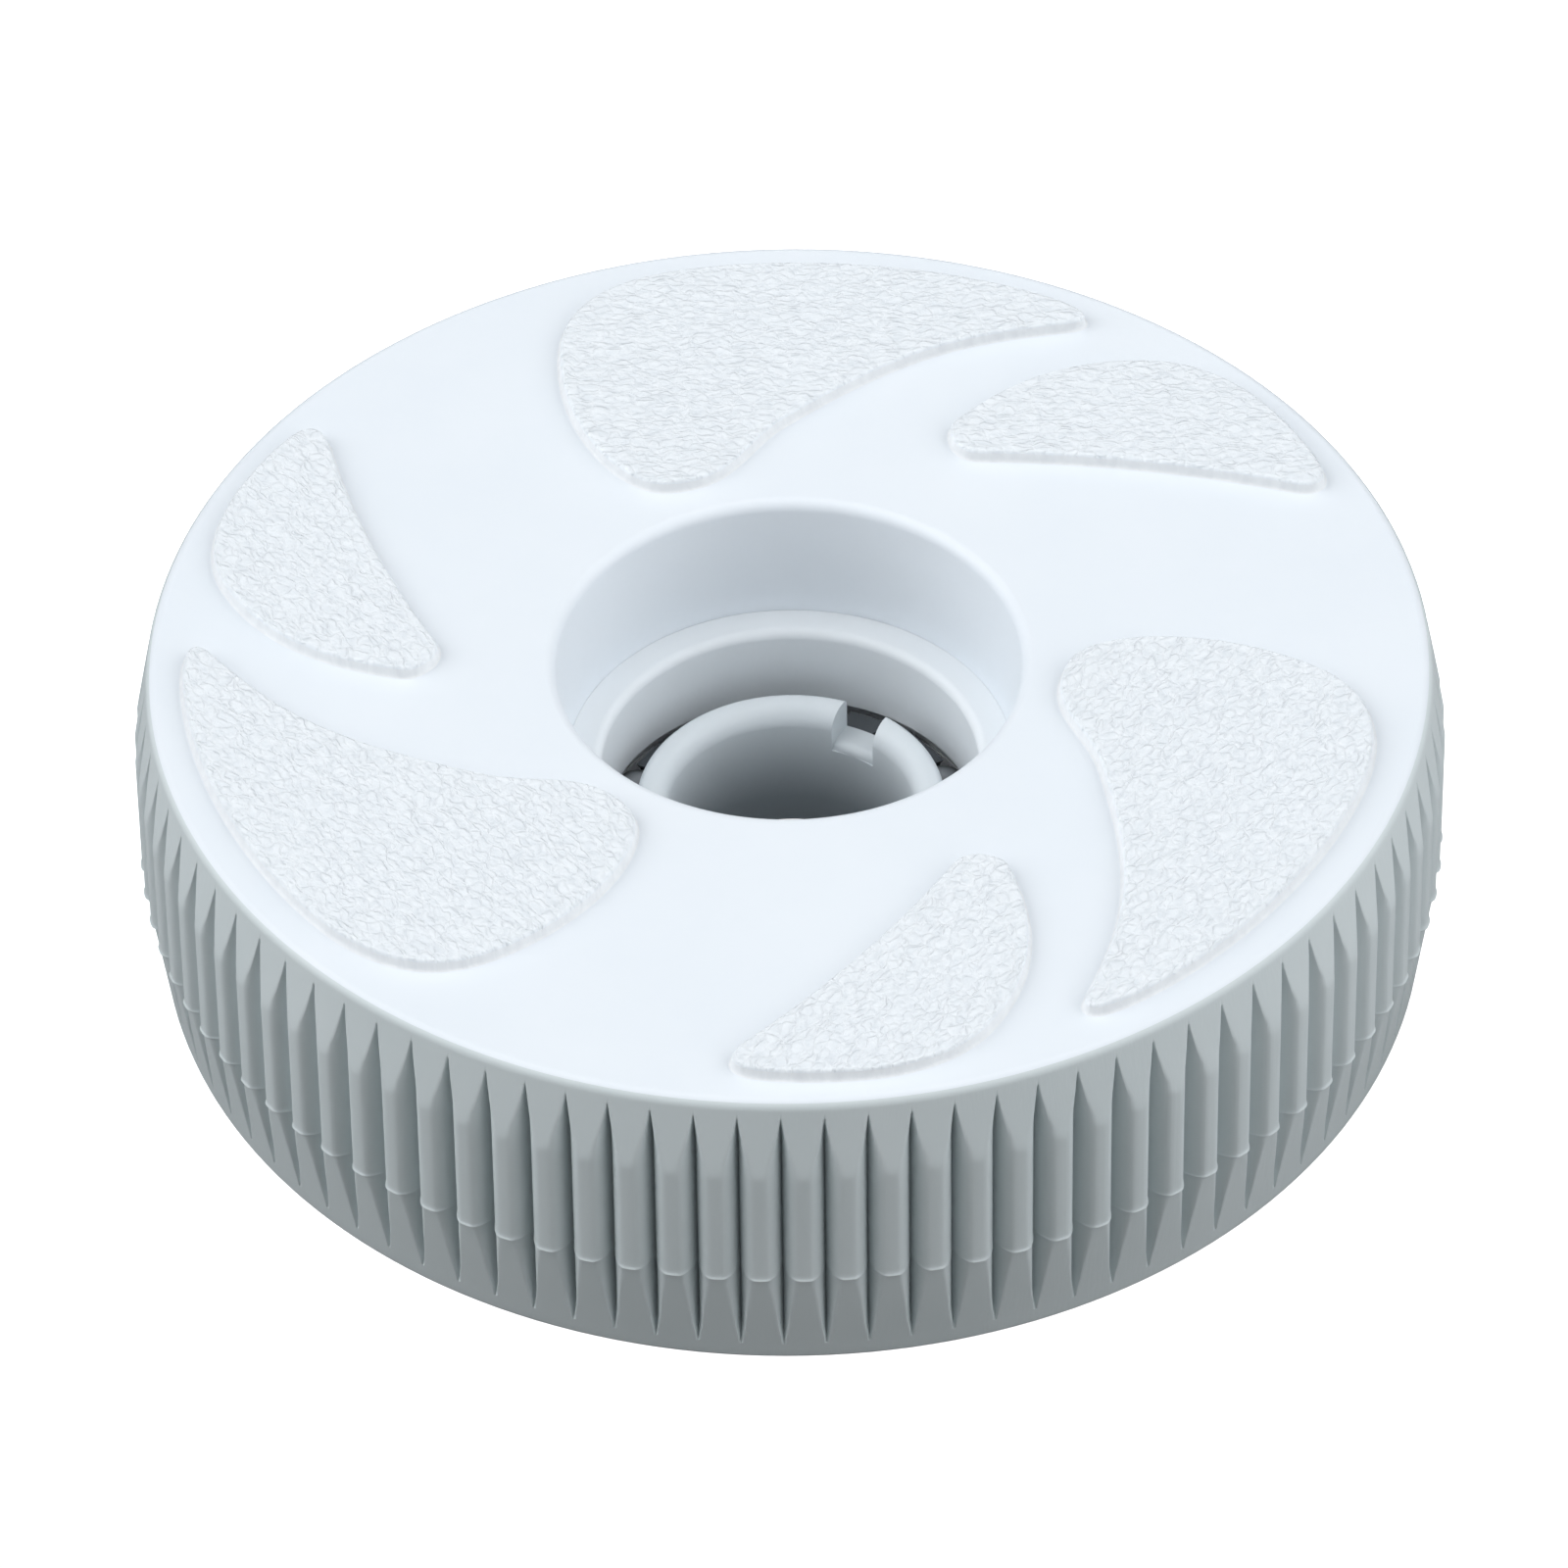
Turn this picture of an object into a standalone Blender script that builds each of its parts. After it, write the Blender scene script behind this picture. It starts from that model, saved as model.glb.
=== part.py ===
"""Ribbed idler wheel of a swimming pool cleaner, running on a plastic ball bearing.

The wheel lies on its back rim, axis along +Z, front face up. All lengths are metres.
"""
import math

import bmesh
import bpy
from mathutils import Matrix, Vector

# ---- wheel, outside
WHEEL_THICKNESS = 0.0317
TREAD_RADIUS = 0.0600
FACE_DROP = 0.0016
BACK_DROP = 0.0018
GROOVE_DEPTH = 0.0034
BACK_GROOVE_DEPTH = 0.0001
GROOVE_TIP_DEPTH = 0.0001
GROOVE_HALF_WIDTH = 0.0015
GROOVE_KNEE_DEPTH = 0.0009
GROOVE_KNEE_HALF_WIDTH = 0.00072
GROOVE_LEAST_HALF_WIDTH = 0.00015
GROOVE_RUN_OUT = 0.0040
RIB_COUNT = 96
RIB_START_DEG = 2.5
SHOULDER_DROP = 0.0079
PARTING_Z = 0.0112
PARTING_STEP = 0.0002
RIM_EDGE = 0.0004

# ---- swirl pads on the front face
PAD_HEIGHT = 0.0012
PAD_RIM_INSET = 0.0036
PAD_SINK = 0.0008
PAD_DRAFT = 0.00025
PAD_REPEAT = 3

# ---- wheel, inside
FACE_WALL = 0.0032
TREAD_WALL = 0.0020
HUB_WALL = 0.0035
WEB_COUNT = 6
WEB_THICKNESS = 0.0024
WEB_BACK_SET = 0.0020
HUB_BACK_SET = 0.0010
HUB_END_WALL = 0.0017
RIM_REBATE = 0.0004
POCKET_CORNER = 0.0015
RECESS_STEP = 0.0007
RECESS_EDGE = 0.0010
SHOULDER_LIP = 0.0028
SEAT_FLOOR_Z = 0.0052

# ---- ball bearing, from the axle outwards
RUN_GAP = 0.0003
SEAT_GAP = 0.0003
SLEEVE_BORE_RADIUS = 0.0114
SLEEVE_WALL = 0.0028
SLEEVE_NOSE = 0.0060
SLEEVE_EDGE = 0.0006
NOTCH_WIDTH = 0.0044
NOTCH_DEPTH = 0.0034
NOTCH_ANGLE_DEG = 59.0
RACE_OPENING = 0.0031
OUTER_RACE_WALL = 0.0029
OUTER_RACE_HEIGHT = 0.0137
OUTER_RACE_EDGE = 0.0008
BALL_COUNT = 14
BALL_RADIUS = 0.00238
BALL_BACK_LAND = 0.00072
CAGE_SIDE_GAP = 0.0004
CAGE_POCKET_GAP = 0.00032
CAGE_BASE = 0.0009
CAGE_PRONG = 0.0019

# ---- how finely curves are cut, and how far cutters run past what they cut
CUT_OVERRUN = 0.003
PAD_STEP_LENGTH = 0.0032
ROUND_STEPS = 56
BORE_STEPS = 72
EDGE_STEPS = 3
TREAD_ARC_STEPS = 12
HUB_ARC_STEPS = 8
BALL_STEPS = 12
DRILL_STEPS = 16
CRISP_EDGE_DEG = 35.0
CRISP_RIB_DEG = 22.0

# ---- derived
FACE_RADIUS = TREAD_RADIUS - FACE_DROP
BACK_RADIUS = TREAD_RADIUS - BACK_DROP
GROOVE_ROOT_RADIUS = TREAD_RADIUS - GROOVE_DEPTH
TREAD_BORE = GROOVE_ROOT_RADIUS - TREAD_WALL
INNER_RACE_RADIUS = SLEEVE_BORE_RADIUS + SLEEVE_WALL
OUTER_RACE_BORE = INNER_RACE_RADIUS + RACE_OPENING
OUTER_RACE_RADIUS = OUTER_RACE_BORE + OUTER_RACE_WALL
PITCH_RADIUS = (OUTER_RACE_BORE + INNER_RACE_RADIUS) / 2.0
RACEWAY_RADIUS = BALL_RADIUS + RUN_GAP
SEAT_RADIUS = OUTER_RACE_RADIUS + SEAT_GAP
HUB_RADIUS = SEAT_RADIUS + HUB_WALL
RECESS_RADIUS = SEAT_RADIUS + RECESS_STEP
POCKET_FLOOR_Z = WHEEL_THICKNESS - FACE_WALL
OUTER_RACE_BACK_Z = SEAT_FLOOR_Z + SEAT_GAP
OUTER_RACE_FRONT_Z = OUTER_RACE_BACK_Z + OUTER_RACE_HEIGHT
BALL_PLANE_Z = OUTER_RACE_BACK_Z + BALL_BACK_LAND + BALL_RADIUS
SLEEVE_NOSE_Z = BALL_PLANE_Z + SLEEVE_NOSE
SLEEVE_BACK_Z = HUB_BACK_SET


def clear_scene():
    for item in list(bpy.data.objects):
        bpy.data.objects.remove(item, do_unlink=True)


def material(name, colour, roughness, metallic):
    mat = bpy.data.materials.new(name)
    mat.use_nodes = True
    shader = mat.node_tree.nodes["Principled BSDF"]
    shader.inputs["Base Color"].default_value = (colour[0], colour[1], colour[2], 1.0)
    shader.inputs["Roughness"].default_value = roughness
    shader.inputs["Metallic"].default_value = metallic
    return mat


def mesh_object(name, bm, mat=None):
    bmesh.ops.recalc_face_normals(bm, faces=bm.faces)
    mesh = bpy.data.meshes.new(name)
    bm.to_mesh(mesh)
    bm.free()
    obj = bpy.data.objects.new(name, mesh)
    bpy.context.scene.collection.objects.link(obj)
    if mat is not None:
        mesh.materials.append(mat)
    return obj


def shade_smooth(mesh, angle_deg=CRISP_EDGE_DEG):
    """Smooth shading with edges sharper than the angle kept crisp."""
    for poly in mesh.polygons:
        poly.use_smooth = True
    limit = math.radians(angle_deg)
    bm = bmesh.new()
    bm.from_mesh(mesh)
    for edge in bm.edges:
        edge.smooth = edge.calc_face_angle(math.pi) < limit
    bm.to_mesh(mesh)
    bm.free()


def combine(target, tool, operation):
    """Cut the tool from the target, or weld it on, and remove the tool."""
    mod = target.modifiers.new("combine", "BOOLEAN")
    mod.operation = operation
    mod.solver = "EXACT"
    mod.object = tool
    bpy.context.view_layer.update()
    graph = bpy.context.evaluated_depsgraph_get()
    result = bpy.data.meshes.new_from_object(target.evaluated_get(graph))
    target.modifiers.clear()
    target.data = result
    bpy.data.objects.remove(tool, do_unlink=True)


def lathe(name, profile, steps, mat=None):
    """Solid of revolution about Z from a closed outline of (radius, z) points."""
    bm = bmesh.new()
    rings = []
    for k in range(steps):
        turn = 2.0 * math.pi * k / steps
        ring = [bm.verts.new((r * math.cos(turn), r * math.sin(turn), z)) for r, z in profile]
        rings.append(ring)
    count = len(profile)
    for k in range(steps):
        here = rings[k]
        there = rings[(k + 1) % steps]
        for j in range(count):
            after = (j + 1) % count
            bm.faces.new((here[j], there[j], there[after], here[after]))
    bmesh.ops.remove_doubles(bm, verts=bm.verts, dist=1e-7)
    return mesh_object(name, bm, mat)


def prism(name, outlines, mat=None):
    """Solid between stacked closed outlines, each a list of (x, y) points and a height."""
    bm = bmesh.new()
    rings = [[bm.verts.new((x, y, z)) for x, y in points] for points, z in outlines]
    count = len(rings[0])
    for low, high in zip(rings, rings[1:]):
        for j in range(count):
            after = (j + 1) % count
            bm.faces.new((low[j], low[after], high[after], high[j]))
    bm.faces.new(list(reversed(rings[0])))
    bm.faces.new(rings[-1])
    return mesh_object(name, bm, mat)


def arc(cx, cy, radius, start_deg, end_deg, steps):
    """Points along an arc, both ends included."""
    points = []
    for k in range(steps + 1):
        angle = math.radians(start_deg + (end_deg - start_deg) * k / steps)
        points.append((cx + radius * math.cos(angle), cy + radius * math.sin(angle)))
    return points


def groove_half_width(depth):
    """Half the groove's width at a depth under the full tread radius: wide flanks over a narrow slot."""
    if depth < GROOVE_KNEE_DEPTH:
        share = depth / GROOVE_KNEE_DEPTH
        return GROOVE_HALF_WIDTH + (GROOVE_KNEE_HALF_WIDTH - GROOVE_HALF_WIDTH) * share
    share = (depth - GROOVE_KNEE_DEPTH) / (GROOVE_DEPTH - GROOVE_KNEE_DEPTH)
    return max(GROOVE_KNEE_HALF_WIDTH * (1.0 - share), GROOVE_LEAST_HALF_WIDTH)


def tread_ring(crest, root):
    """Closed ring of the tread: per pitch one groove root, a knee on each flank and a flat-topped rib."""
    pitch = 2.0 * math.pi / RIB_COUNT
    corner = groove_half_width(TREAD_RADIUS - crest) / crest
    knee_radius = TREAD_RADIUS - GROOVE_KNEE_DEPTH
    knee = GROOVE_KNEE_HALF_WIDTH / crest
    if knee >= corner or knee_radius <= root:
        knee_radius = (root + crest) / 2.0
        knee = corner / 2.0
    section = (
        (root, 0.0),
        (knee_radius, knee),
        (crest, corner),
        (crest, pitch - corner),
        (knee_radius, pitch - knee),
    )
    points = []
    for k in range(RIB_COUNT):
        centre = math.radians(RIB_START_DEG) + k * pitch
        for radius, offset in section:
            angle = centre + offset
            points.append((radius * math.cos(angle), radius * math.sin(angle)))
    return points


def wheel_blank():
    """Ribbed tread closed by the front face and the back plane."""
    top = WHEEL_THICKNESS
    back_root = BACK_RADIUS - BACK_GROOVE_DEPTH
    back_slope = (TREAD_RADIUS - PARTING_STEP - BACK_RADIUS) / (PARTING_Z - RIM_EDGE)
    run_out_crest = BACK_RADIUS + back_slope * (GROOVE_RUN_OUT - RIM_EDGE)
    rings = [
        (tread_ring(BACK_RADIUS - RIM_EDGE, back_root - RIM_EDGE), 0.0),
        (tread_ring(BACK_RADIUS, back_root), RIM_EDGE),
        (tread_ring(run_out_crest, GROOVE_ROOT_RADIUS), GROOVE_RUN_OUT),
        (tread_ring(TREAD_RADIUS - PARTING_STEP, GROOVE_ROOT_RADIUS - PARTING_STEP), PARTING_Z),
        (tread_ring(TREAD_RADIUS, GROOVE_ROOT_RADIUS), PARTING_Z + PARTING_STEP),
        (tread_ring(TREAD_RADIUS, GROOVE_ROOT_RADIUS), top - SHOULDER_DROP),
        (tread_ring(FACE_RADIUS, FACE_RADIUS - GROOVE_TIP_DEPTH), top - RIM_EDGE),
        (tread_ring(FACE_RADIUS - RIM_EDGE, FACE_RADIUS - RIM_EDGE), top),
    ]
    return prism("wheel_body", rings)


def along(start, heading_deg, reach):
    """The point a reach away from the start along a heading."""
    heading = math.radians(heading_deg)
    return start + Vector((math.cos(heading), math.sin(heading))) * reach


def band_outline(nodes):
    """Closed smooth outline in the band between the recess lip and the pad rim.

    A node is a turn about the axis, a place across the band from 0 at the lip to 1 at the pad
    rim, a heading from the outward direction, and its reach behind and ahead in band widths.
    """
    lip = RECESS_RADIUS + RECESS_EDGE
    band = FACE_RADIUS - PAD_RIM_INSET - lip
    knots = []
    for turn_deg, place, heading_deg, behind, ahead in nodes:
        spot = along(Vector((0.0, 0.0)), turn_deg, lip + place * band)
        before = along(spot, turn_deg + heading_deg, -behind * band)
        after = along(spot, turn_deg + heading_deg, ahead * band)
        knots.append((before, spot, after))
    points = []
    for k, (_, p0, p1) in enumerate(knots):
        p2, p3, _ = knots[(k + 1) % len(knots)]
        steps = max(2, math.ceil((p3 - p0).length / PAD_STEP_LENGTH))
        for j in range(steps):
            t = j / steps
            u = 1.0 - t
            point = p0 * u ** 3 + p1 * 3.0 * u * u * t + p2 * 3.0 * u * t * t + p3 * t ** 3
            points.append((point.x, point.y))
    return points


def pad_outlines():
    """The large pad sweeps from the rim in to the hub; the small one fills the space behind it."""
    large = [
        (58.9, 0.992, 53.0, 0.028, 0.025),
        (63.5, 1.010, 90.0, 0.055, 0.334),
        (100.4, 0.997, 91.0, 0.334, 0.190),
        (116.0, 0.787, 151.0, 0.196, 0.331),
        (115.7, 0.105, 247.0, 0.132, 0.199),
        (90.4, 0.304, 311.0, 0.160, 0.482),
        (59.2, 0.937, 309.0, 0.304, 0.025),
    ]
    small = [
        (25.3, 1.005, 67.0, 0.058, 0.043),
        (35.9, 1.028, 89.0, 0.138, 0.098),
        (49.3, 0.926, 127.0, 0.166, 0.248),
        (63.5, 0.392, 165.0, 0.221, 0.031),
        (56.4, 0.310, 302.0, 0.080, 0.218),
        (25.3, 0.900, 317.0, 0.337, 0.049),
    ]
    return band_outline(large), band_outline(small)


def shrink(points, amount):
    """Outline moved inward by the amount along the mean of its neighbouring normals."""
    moved = []
    count = len(points)
    for k in range(count):
        ahead = Vector(points[(k + 1) % count])
        behind = Vector(points[k - 1])
        tangent = (ahead - behind).normalized()
        inward = Vector((-tangent.y, tangent.x))
        spot = Vector(points[k]) + inward * amount
        moved.append((spot.x, spot.y))
    return moved


def turned(points, angle_deg):
    spin = Matrix.Rotation(math.radians(angle_deg), 2)
    return [tuple(spin @ Vector(point)) for point in points]


def weld_pads(body):
    top = WHEEL_THICKNESS
    for outline in pad_outlines():
        crest = shrink(outline, PAD_DRAFT / 2.0)
        foot = shrink(outline, -PAD_DRAFT / 2.0)
        for k in range(PAD_REPEAT):
            turn = 360.0 * k / PAD_REPEAT
            stack = [(turned(foot, turn), top - PAD_SINK), (turned(crest, turn), top + PAD_HEIGHT)]
            combine(body, prism("pad", stack), "UNION")


def cut_back(body):
    """Pockets between the webs, then the webs and the hub set back from the rim."""
    gap = WEB_THICKNESS / 2.0
    half = 180.0 / WEB_COUNT
    inner = half - math.degrees(math.asin(gap / HUB_RADIUS))
    outer = half - math.degrees(math.asin(gap / TREAD_BORE))
    ring = arc(0.0, 0.0, TREAD_BORE, -outer, outer, TREAD_ARC_STEPS)
    ring += arc(0.0, 0.0, HUB_RADIUS, inner, -inner, HUB_ARC_STEPS)
    for k in range(WEB_COUNT):
        shape = turned(ring, half + 360.0 * k / WEB_COUNT)
        tool = prism("pocket", [(shape, -CUT_OVERRUN), (shape, POCKET_FLOOR_Z)])
        soften = tool.modifiers.new("corner", "BEVEL")
        soften.width = POCKET_CORNER
        soften.segments = 1
        soften.limit_method = "ANGLE"
        soften.angle_limit = math.radians(50.0)
        combine(body, tool, "DIFFERENCE")
    rebate = TREAD_BORE + RIM_REBATE
    hub_end = SEAT_RADIUS + HUB_END_WALL
    relief = [
        (0.0, -CUT_OVERRUN),
        (rebate, -CUT_OVERRUN),
        (rebate, WEB_BACK_SET),
        (hub_end, WEB_BACK_SET),
        (hub_end, HUB_BACK_SET),
        (0.0, HUB_BACK_SET),
    ]
    combine(body, lathe("relief", relief, BORE_STEPS), "DIFFERENCE")


def cut_hub(body):
    """Front recess with a rounded lip, bearing seat, and the shoulder behind the bearing."""
    top = WHEEL_THICKNESS
    lip = arc(RECESS_RADIUS + RECESS_EDGE, top - RECESS_EDGE, RECESS_EDGE, 180.0, 90.0, EDGE_STEPS)
    bore = [
        (0.0, top + CUT_OVERRUN),
        (0.0, -CUT_OVERRUN),
        (SEAT_RADIUS - SHOULDER_LIP, -CUT_OVERRUN),
        (SEAT_RADIUS - SHOULDER_LIP, SEAT_FLOOR_Z),
        (SEAT_RADIUS, SEAT_FLOOR_Z),
        (SEAT_RADIUS, OUTER_RACE_FRONT_Z),
    ]
    bore += lip
    bore += [(RECESS_RADIUS + RECESS_EDGE, top + CUT_OVERRUN)]
    combine(body, lathe("bore", bore, BORE_STEPS), "DIFFERENCE")


def build_wheel(mat):
    body = wheel_blank()
    cut_back(body)
    cut_hub(body)
    weld_pads(body)
    body.data.name = "wheel_body"
    body.data.materials.clear()
    body.data.materials.append(mat)
    shade_smooth(body.data, CRISP_RIB_DEG)
    return body


def raceway(side, low_deg, high_deg, steps):
    """Raceway arc in the (radius, z) half plane; side is 1 for the outer race, -1 for the inner."""
    points = []
    for k in range(steps + 1):
        angle = math.radians(low_deg + (high_deg - low_deg) * k / steps)
        radius = PITCH_RADIUS + side * RACEWAY_RADIUS * math.cos(angle)
        points.append((radius, BALL_PLANE_Z + RACEWAY_RADIUS * math.sin(angle)))
    return points


def build_outer_race(mat):
    """Two rings that meet at the ball plane, so the balls go in before the rings are closed."""
    mouth = math.degrees(math.acos((OUTER_RACE_BORE - PITCH_RADIUS) / RACEWAY_RADIUS))
    split = math.degrees(math.asin(RUN_GAP / 2.0 / RACEWAY_RADIUS))
    front_z = OUTER_RACE_FRONT_Z
    edge = OUTER_RACE_EDGE
    front = raceway(1.0, split, mouth, EDGE_STEPS)
    front += arc(OUTER_RACE_BORE + edge, front_z - edge, edge, 180.0, 90.0, EDGE_STEPS)
    front += [(OUTER_RACE_RADIUS, front_z)]
    front += [(OUTER_RACE_RADIUS, BALL_PLANE_Z + RUN_GAP / 2.0)]
    back = [(OUTER_RACE_BORE, OUTER_RACE_BACK_Z)]
    back += raceway(1.0, -mouth, -split, EDGE_STEPS)
    back += [(OUTER_RACE_RADIUS, BALL_PLANE_Z - RUN_GAP / 2.0)]
    back += [(OUTER_RACE_RADIUS, OUTER_RACE_BACK_Z)]
    for name, profile in (("bearing_outer_race_front", front), ("bearing_outer_race_back", back)):
        ring = lathe(name, profile, ROUND_STEPS, mat)
        shade_smooth(ring.data)


def build_inner_race(mat):
    """Sleeve with the inner raceway; its nose carries one square drive notch."""
    mouth = math.degrees(math.acos((PITCH_RADIUS - INNER_RACE_RADIUS) / RACEWAY_RADIUS))
    edge = SLEEVE_EDGE
    nose = SLEEVE_NOSE_Z
    profile = [(SLEEVE_BORE_RADIUS, SLEEVE_BACK_Z), (INNER_RACE_RADIUS, SLEEVE_BACK_Z)]
    profile += raceway(-1.0, -mouth, mouth, 2 * EDGE_STEPS)
    profile += arc(INNER_RACE_RADIUS - edge, nose - edge, edge, 0.0, 90.0, 2)
    profile += arc(SLEEVE_BORE_RADIUS + edge, nose - edge, edge, 90.0, 180.0, 2)
    race = lathe("bearing_inner_race", profile, ROUND_STEPS)
    half = NOTCH_WIDTH / 2.0
    near = SLEEVE_BORE_RADIUS - CUT_OVERRUN
    far = INNER_RACE_RADIUS + CUT_OVERRUN
    plan = turned([(near, -half), (far, -half), (far, half), (near, half)], NOTCH_ANGLE_DEG)
    notch = prism("notch", [(plan, nose - NOTCH_DEPTH), (plan, nose + CUT_OVERRUN)])
    combine(race, notch, "DIFFERENCE")
    race.data.name = "bearing_inner_race"
    race.data.materials.clear()
    race.data.materials.append(mat)
    shade_smooth(race.data)


def ball_angle(index):
    return 360.0 * index / BALL_COUNT


def build_cage(mat):
    """Crown cage: a base ring with prongs that clip round each ball from behind."""
    inner = INNER_RACE_RADIUS + CAGE_SIDE_GAP
    outer = OUTER_RACE_BORE - CAGE_SIDE_GAP
    hole = BALL_RADIUS + CAGE_POCKET_GAP
    base_z = BALL_PLANE_Z - hole - CAGE_BASE
    tip_z = BALL_PLANE_Z + CAGE_PRONG
    profile = [(inner, base_z), (outer, base_z), (outer, tip_z), (inner, tip_z)]
    cage = lathe("bearing_cage", profile, 4 * BALL_COUNT)
    for k in range(BALL_COUNT):
        ring = arc(0.0, BALL_PLANE_Z, hole, 0.0, 360.0 - 360.0 / DRILL_STEPS, DRILL_STEPS - 1)
        drill = bmesh.new()
        loops = []
        for reach in (inner - CUT_OVERRUN, outer + CUT_OVERRUN):
            loops.append([drill.verts.new((reach, y, z)) for y, z in ring])
        for j in range(len(ring)):
            after = (j + 1) % len(ring)
            drill.faces.new((loops[0][j], loops[0][after], loops[1][after], loops[1][j]))
        drill.faces.new(loops[0])
        drill.faces.new(loops[1])
        tool = mesh_object("drill", drill)
        tool.data.transform(Matrix.Rotation(math.radians(ball_angle(k)), 4, "Z"))
        combine(cage, tool, "DIFFERENCE")
    cage.data.name = "bearing_cage"
    cage.data.materials.clear()
    cage.data.materials.append(mat)
    shade_smooth(cage.data)


def build_balls(mat):
    """Every ball is its own object with its origin at its own centre; all share one mesh."""
    bm = bmesh.new()
    bmesh.ops.create_uvsphere(bm, u_segments=BALL_STEPS, v_segments=BALL_STEPS - 4, radius=BALL_RADIUS)
    first = mesh_object("bearing_ball_01", bm, mat)
    shade_smooth(first.data, 2.0 * CRISP_EDGE_DEG)
    for k in range(BALL_COUNT):
        ball = first
        if k > 0:
            ball = bpy.data.objects.new("bearing_ball_%02d" % (k + 1), first.data)
            bpy.context.scene.collection.objects.link(ball)
        turn = math.radians(ball_angle(k))
        ball.location = (PITCH_RADIUS * math.cos(turn), PITCH_RADIUS * math.sin(turn), BALL_PLANE_Z)


def main():
    clear_scene()
    shell = material("white_polymer", (0.80, 0.83, 0.86), 0.42, 0.0)
    race = material("race_polymer", (0.78, 0.81, 0.84), 0.36, 0.0)
    cage = material("cage_polymer", (0.62, 0.65, 0.67), 0.50, 0.0)
    steel = material("ball_steel", (0.72, 0.73, 0.74), 0.18, 1.0)
    build_wheel(shell)
    build_outer_race(race)
    build_inner_race(race)
    build_cage(cage)
    build_balls(steel)
    bpy.context.view_layer.update()


main()
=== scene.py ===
"""Looks of the ribbed idler wheel: fine moulded shapes over the frame, their finishes, the studio."""

import math

import bmesh
import bpy
from mathutils import Matrix, Vector, noise


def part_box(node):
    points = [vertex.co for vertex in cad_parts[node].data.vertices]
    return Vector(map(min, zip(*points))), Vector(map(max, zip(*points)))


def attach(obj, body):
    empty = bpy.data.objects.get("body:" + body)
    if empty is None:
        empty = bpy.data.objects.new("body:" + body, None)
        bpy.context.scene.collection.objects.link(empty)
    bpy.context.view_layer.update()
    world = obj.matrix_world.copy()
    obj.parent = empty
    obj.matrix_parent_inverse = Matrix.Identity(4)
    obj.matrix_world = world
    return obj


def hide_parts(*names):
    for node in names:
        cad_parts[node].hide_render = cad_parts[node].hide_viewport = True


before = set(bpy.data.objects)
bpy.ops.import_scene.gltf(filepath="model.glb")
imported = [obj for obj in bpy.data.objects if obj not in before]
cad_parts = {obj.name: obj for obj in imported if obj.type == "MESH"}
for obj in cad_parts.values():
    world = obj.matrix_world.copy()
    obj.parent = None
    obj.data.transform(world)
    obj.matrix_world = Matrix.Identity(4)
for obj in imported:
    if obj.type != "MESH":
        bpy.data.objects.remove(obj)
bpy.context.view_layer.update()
MM = 0.001

# ---- sizes read from the frame
_, WHEEL_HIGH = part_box("wheel_body")
FRONT_LOW, FRONT_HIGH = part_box("bearing_outer_race_front")
BACK_LOW, BACK_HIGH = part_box("bearing_outer_race_back")
INNER_LOW, INNER_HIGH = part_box("bearing_inner_race")
BALLS = [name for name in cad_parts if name.startswith("bearing_ball")]
BALL_LOW, BALL_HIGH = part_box(BALLS[0])

# ---- wheel, outside
PAD_HEIGHT = 1.2 * MM
FACE_Z = WHEEL_HIGH[2] - PAD_HEIGHT
FLASH_PROUD = 0.13 * MM
CREST_RADIUS = WHEEL_HIGH[0] - FLASH_PROUD
FACE_RADIUS = 58.4 * MM
BACK_CREST_RADIUS = 58.2 * MM
RIB_DEPTH = 3.4 * MM
GROOVE_SINK = 0.10 * MM
GROOVE_ROUND = 0.10 * MM
GROOVE_FRONT_END = 25.0 * MM
GROOVE_FRONT_LIFT = 0.040
GROOVE_BACK_END = 5.0 * MM
GROOVE_BACK_LIFT = 0.105
RIB_COUNT = 96
RIB_START = math.radians(2.5)
HALF_PITCH = math.pi * CREST_RADIUS / RIB_COUNT
# the least and the most that a groove reaches to either side before the crest begins
LEAST_EDGE = 0.22 * MM
MOST_EDGE = 0.62 * HALF_PITCH
EDGE_SHARES = (0.0, 0.10, 0.24, 0.42, 0.62, 0.82, 1.0, 1.18, 1.40)
FRONT_CORNER = 0.15 * MM
BACK_CORNER = 0.14 * MM
SHOULDER_Z = 23.8 * MM
PARTING_Z = 11.2 * MM
PARTING_STEP = 0.2 * MM
RIM_EDGE = 0.85 * MM
BACK_EDGE = 0.4 * MM
# heights of the rings behind and in front of the parting line, in millimetres
BACK_RINGS = (0.8, 1.3, 2.0, 3.0, 4.2, 5.6, 7.2, 9.0, 10.2, 11.15)
FRONT_RINGS = (14.0, 18.0, 22.0, 23.4, 23.8, 24.3, 25.2, 26.4, 27.6, 28.4, 29.0, 29.5, 30.0, 30.4, 30.7)
# the bead on the parting line: rise in millimetres, share of its full height
BEAD = ((0.0, 0.3), (0.02, 0.85), (0.07, 1.0), (0.13, 0.85), (0.20, 0.45), (0.32, 0.15), (0.7, 0.0))

# ---- pads
PAD_RIM_INSET = 3.6 * MM
PAD_LIP_INSET = 1.0 * MM
PAD_REPEAT = 3
SECTOR_START = math.radians(25.0)
CURVE_STEPS = 40
LARGE_PAD_POINTS = 280
SMALL_PAD_POINTS = 190
RAGGED_SCALE = 1800.0
RAGGED_GAIN = 1.6
# a pad's edge from its foot in the face to its top: height, how far out, ragged share, in millimetres
PAD_EDGE = [
    (-0.80, 0.45, 0.00), (0.00, 0.45, 0.00), (0.03, 0.30, 0.00), (0.10, 0.18, 0.01),
    (0.22, 0.10, 0.02), (0.42, 0.05, 0.03), (0.64, 0.01, 0.035), (0.86, -0.03, 0.03),
    (1.03, -0.10, 0.02), (1.14, -0.21, 0.01), (1.20, -0.38, 0.00),
]

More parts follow.
